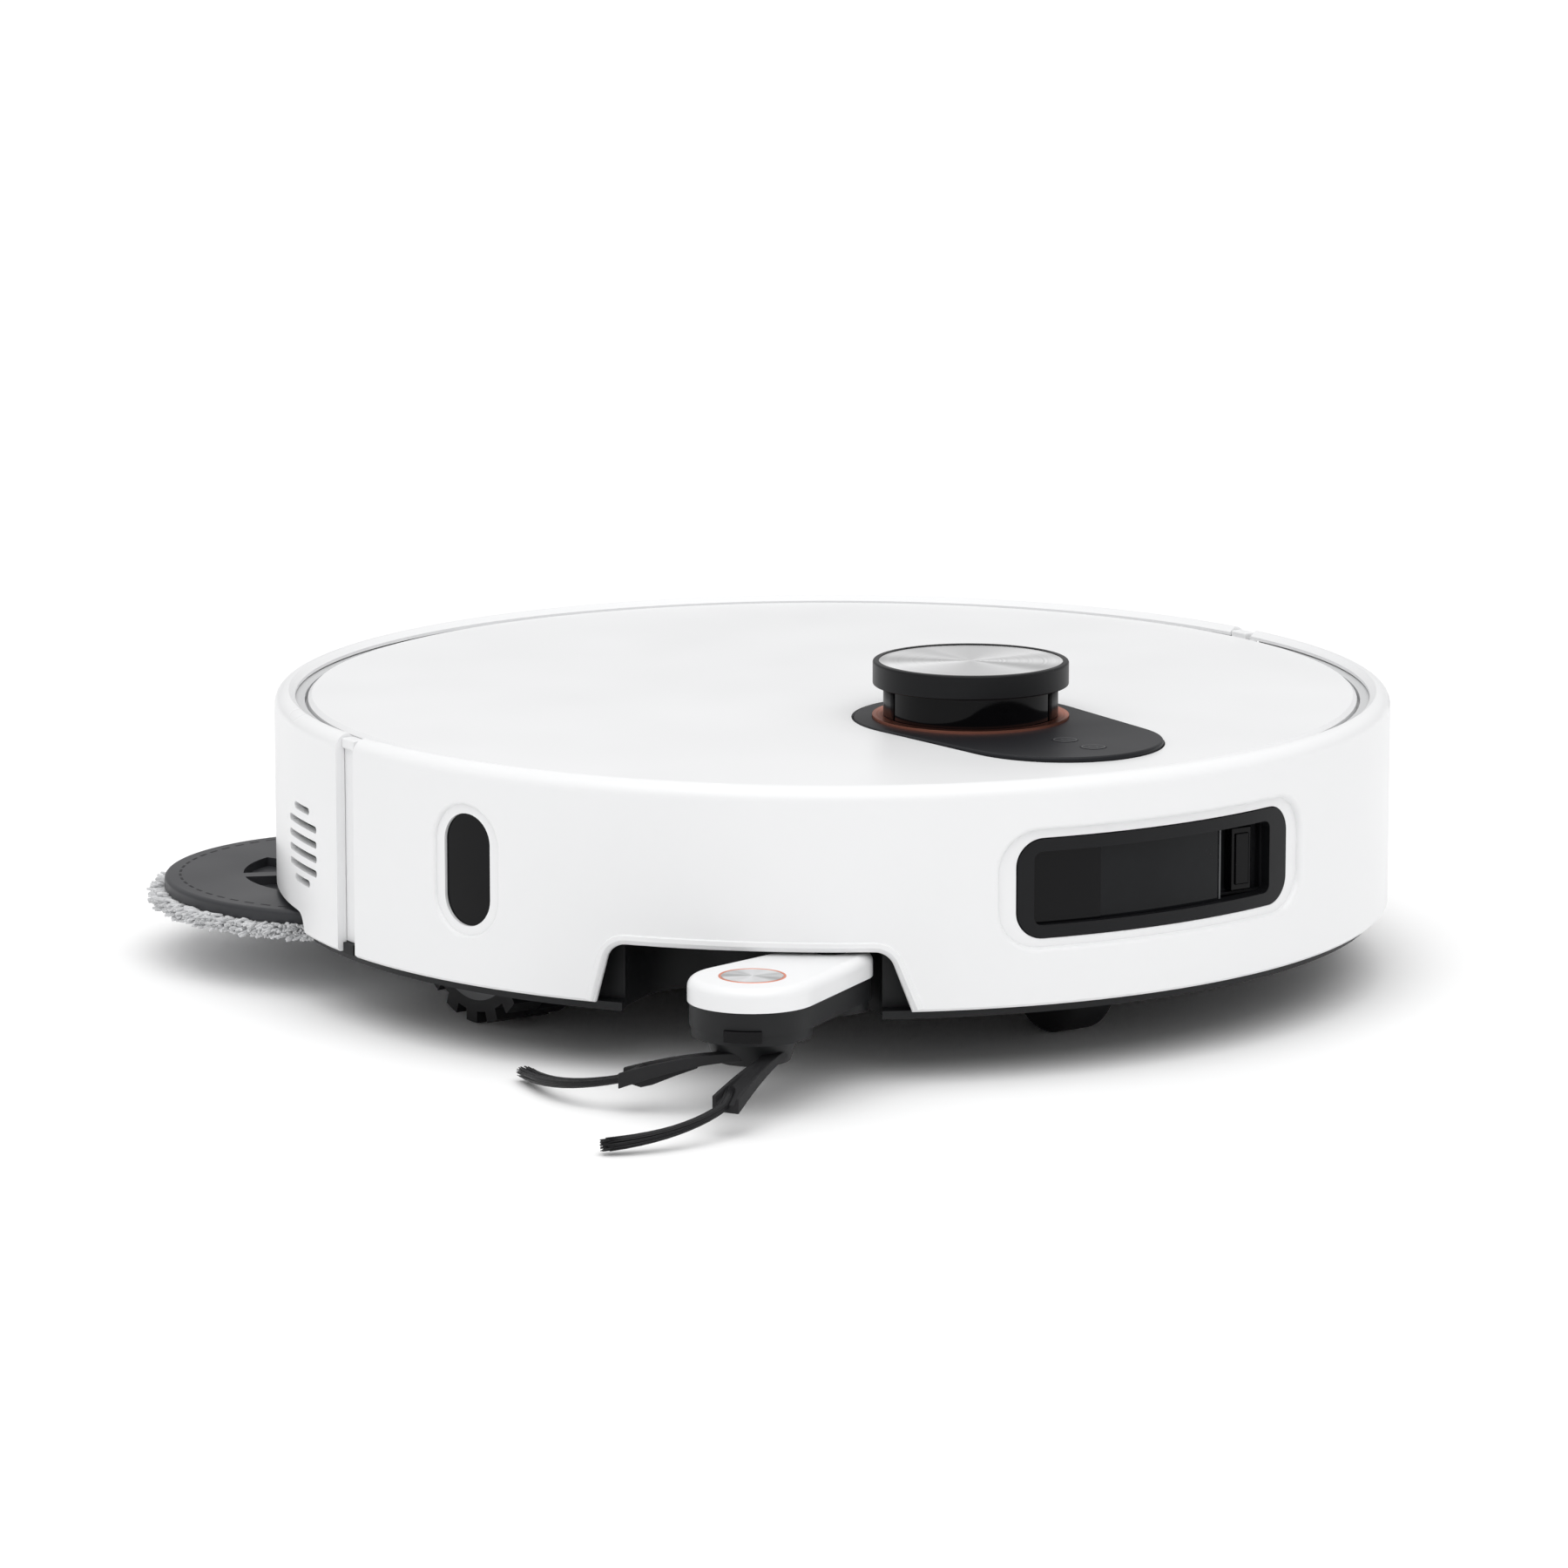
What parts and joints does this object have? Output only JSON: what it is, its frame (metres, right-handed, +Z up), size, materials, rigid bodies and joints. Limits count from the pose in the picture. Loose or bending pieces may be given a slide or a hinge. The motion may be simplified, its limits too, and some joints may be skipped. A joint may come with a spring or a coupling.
{
  "type": "robotic floor cleaner",
  "caption": "Low round robotic vacuum and mop with a raised scanning turret, a side brush on a swing-out arm, spinning mop pads on lifts, drive wheels, caster and main brush.",
  "frame": {"origin": "on the floor, under the axis of the round body", "axes": "+Z up, front of the robot towards -Y, the robot's own right side towards -X"},
  "size_m": [0.378, 0.3608, 0.1065],
  "materials": {
    "white_shell": "satin white",
    "white_inner": "matt white",
    "dark_chassis": "fine textured, near black",
    "charcoal": "matt charcoal",
    "satin_dark": "satin charcoal",
    "black_window": "glossy near-black, lets infrared through",
    "brushed_disc": "turned, fine circular brushing",
    "copper_ring": "copper-coloured plated ring",
    "grey_plastic": "matt grey",
    "rubber": "black rubber",
    "tyre": "black moulded tread",
    "steel": "plain steel",
    "gold_contact": "plated contact",
    "mop_plate": "satin mid grey",
    "mop_pad": "light grey microfibre",
    "bristle": "black nylon bristles",
    "board": "green circuit board",
    "smoked": "smoked clear",
    "metal_case": "dark coated case with motor and gears",
    "fan_case": "dark anodised",
    "cell_cans": "blue wrapped steel cells"
  },
  "bodies": {
    "root": {"lower_chassis": "dark_chassis", "rear_shell": "white_shell", "charge_contacts": "gold_contact", "groove_posts": "white_shell", "groove_feet": "rubber", "deck": "white_inner", "control_panel": "charcoal", "accent_ring": "copper_ring", "lidar_base": "dark_chassis", "front_sensors": "charcoal", "cliff_sensors": "black_window", "suspension_mounts": "steel", "brush_housing": "dark_chassis", "suction_duct": "dark_chassis", "brush_cover": "charcoal", "brush_motor": "steel", "caster_socket": "dark_chassis", "arm_bay": "dark_chassis", "fan_housing": "fan_case", "battery": "cell_cans", "main_board": "board", "water_tank": "smoked", "chassis_screws": "steel"},
    "bumper": {"bumper": "white_shell", "front_bezel": "satin_dark", "front_glass": "black_window", "side_window": "black_window"},
    "top_cover": {"top_cover": "white_shell"},
    "dust_box": {"dust_box": "smoked"},
    "key_home": {"key_home": "charcoal"},
    "key_power": {"key_power": "charcoal"},
    "turret": {"turret_cap": "satin_dark", "turret_disc": "brushed_disc", "turret_window": "black_window"},
    "lidar_rotor": {"lidar_rotor": "charcoal"},
    "suspension_right": {"wheel_module_right": "metal_case"},
    "suspension_left": {"wheel_module_left": "metal_case"},
    "wheel_right": {"wheel_hub_right": "grey_plastic", "tyre_right": "tyre"},
    "wheel_left": {"wheel_hub_left": "grey_plastic", "tyre_left": "tyre"},
    "main_brush": {"brush_core": "grey_plastic", "brush_fins": "rubber"},
    "caster_fork": {"caster_fork": "dark_chassis", "caster_axle": "steel"},
    "caster_wheel": {"caster_wheel": "rubber"},
    "side_arm": {"arm_cover": "white_shell", "arm_badge": "brushed_disc", "arm_housing": "dark_chassis"},
    "side_brush": {"side_brush_hub": "dark_chassis", "side_brush_sleeves": "rubber", "side_brush_tufts": "bristle"},
    "mop_arm_right": {"mop_arm_right": "dark_chassis"},
    "mop_lift_right": {"mop_carrier_right": "dark_chassis"},
    "mop_lift_left": {"mop_carrier_left": "dark_chassis"},
    "mop_right": {"mop_plate_right": "mop_plate", "mop_pad_right": "mop_pad"},
    "mop_left": {"mop_plate_left": "mop_plate", "mop_pad_left": "mop_pad"},
    "fan": {"fan_impeller": "grey_plastic"}
  },
  "joints": [
    {"name": "bumper_press", "type": "slide", "parent": "root", "child": "bumper", "axis": [0, 1, 0], "range_m": [0, 0.0025], "stiffness_N_per_m": 800, "springref_m": -0.002},
    {"name": "top_cover_lift", "type": "slide", "parent": "root", "child": "top_cover", "axis": [0, 0, 1], "range_m": [0, 0.12]},
    {"name": "dust_box_lift", "type": "slide", "parent": "root", "child": "dust_box", "axis": [0, 0, 1], "range_m": [0, 0.06]},
    {"name": "key_home_press", "type": "slide", "parent": "root", "child": "key_home", "axis": [0, 0, -1], "range_m": [0, 0.0007], "stiffness_N_per_m": 800, "springref_m": -0.0005},
    {"name": "key_power_press", "type": "slide", "parent": "root", "child": "key_power", "axis": [0, 0, -1], "range_m": [0, 0.0007], "stiffness_N_per_m": 800, "springref_m": -0.0005},
    {"name": "turret_press", "type": "slide", "parent": "root", "child": "turret", "axis": [0, 0, -1], "range_m": [0, 0.002], "stiffness_N_per_m": 1500, "springref_m": -0.001},
    {"name": "lidar_spin", "type": "hinge", "parent": "root", "child": "lidar_rotor", "pos_m": [0, -0.0738, 0.075], "axis": [0, 0, 1], "continuous": true},
    {"name": "suspension_right_drop", "type": "hinge", "parent": "root", "child": "suspension_right", "pos_m": [-0.107, -0.058, 0.042], "axis": [-1, 0, 0], "range_deg": [0, 12], "stiffness_Nm_per_rad": 0.4, "springref_deg": 28.65},
    {"name": "suspension_left_drop", "type": "hinge", "parent": "root", "child": "suspension_left", "pos_m": [0.107, -0.058, 0.042], "axis": [-1, 0, 0], "range_deg": [0, 12], "stiffness_Nm_per_rad": 0.4, "springref_deg": 28.65},
    {"name": "wheel_right_spin", "type": "hinge", "parent": "suspension_right", "child": "wheel_right", "pos_m": [-0.131, -0.012, 0.034], "axis": [1, 0, 0], "continuous": true},
    {"name": "wheel_left_spin", "type": "hinge", "parent": "suspension_left", "child": "wheel_left", "pos_m": [0.131, -0.012, 0.034], "axis": [1, 0, 0], "continuous": true},
    {"name": "main_brush_spin", "type": "hinge", "parent": "root", "child": "main_brush", "pos_m": [0, -0.048, 0.023], "axis": [1, 0, 0], "continuous": true},
    {"name": "caster_swivel", "type": "hinge", "parent": "root", "child": "caster_fork", "pos_m": [0, -0.122, 0.036], "axis": [0, 0, 1], "continuous": true},
    {"name": "caster_roll", "type": "hinge", "parent": "caster_fork", "child": "caster_wheel", "pos_m": [0, -0.122, 0.017], "axis": [1, 0, 0], "continuous": true},
    {"name": "arm_swing", "type": "hinge", "parent": "root", "child": "side_arm", "pos_m": [-0.0965, -0.137, 0.03], "axis": [0, 0, 1], "range_deg": [-85, 0]},
    {"name": "side_brush_spin", "type": "hinge", "parent": "side_arm", "child": "side_brush", "pos_m": [-0.134, -0.1515, 0.022], "axis": [0, 0, 1], "continuous": true},
    {"name": "mop_swing_right", "type": "hinge", "parent": "root", "child": "mop_arm_right", "pos_m": [-0.1132, 0.0389, 0.052], "axis": [0, 0, 1], "range_deg": [-50.4, 0]},
    {"name": "mop_lift_right", "type": "slide", "parent": "mop_arm_right", "child": "mop_lift_right", "axis": [0, 0, -1], "range_m": [0, 0.017]},
    {"name": "mop_lift_left", "type": "slide", "parent": "root", "child": "mop_lift_left", "axis": [0, 0, -1], "range_m": [0, 0.017]},
    {"name": "mop_spin_right", "type": "hinge", "parent": "mop_lift_right", "child": "mop_right", "pos_m": [-0.1135, 0.092, 0.024], "axis": [0, 0, 1], "continuous": true},
    {"name": "mop_spin_left", "type": "hinge", "parent": "mop_lift_left", "child": "mop_left", "pos_m": [0.0725, 0.073, 0.024], "axis": [0, 0, 1], "continuous": true},
    {"name": "fan_spin", "type": "hinge", "parent": "root", "child": "fan", "pos_m": [0.09, -0.102, 0.036], "axis": [0, 0, 1], "continuous": true}
  ],
  "couplings": [
    {"joint": "dust_box_lift", "follows": "top_cover_lift", "ratio": 0.5},
    {"joint": "mop_lift_left", "follows": "mop_lift_right", "ratio": 1}
  ]
}
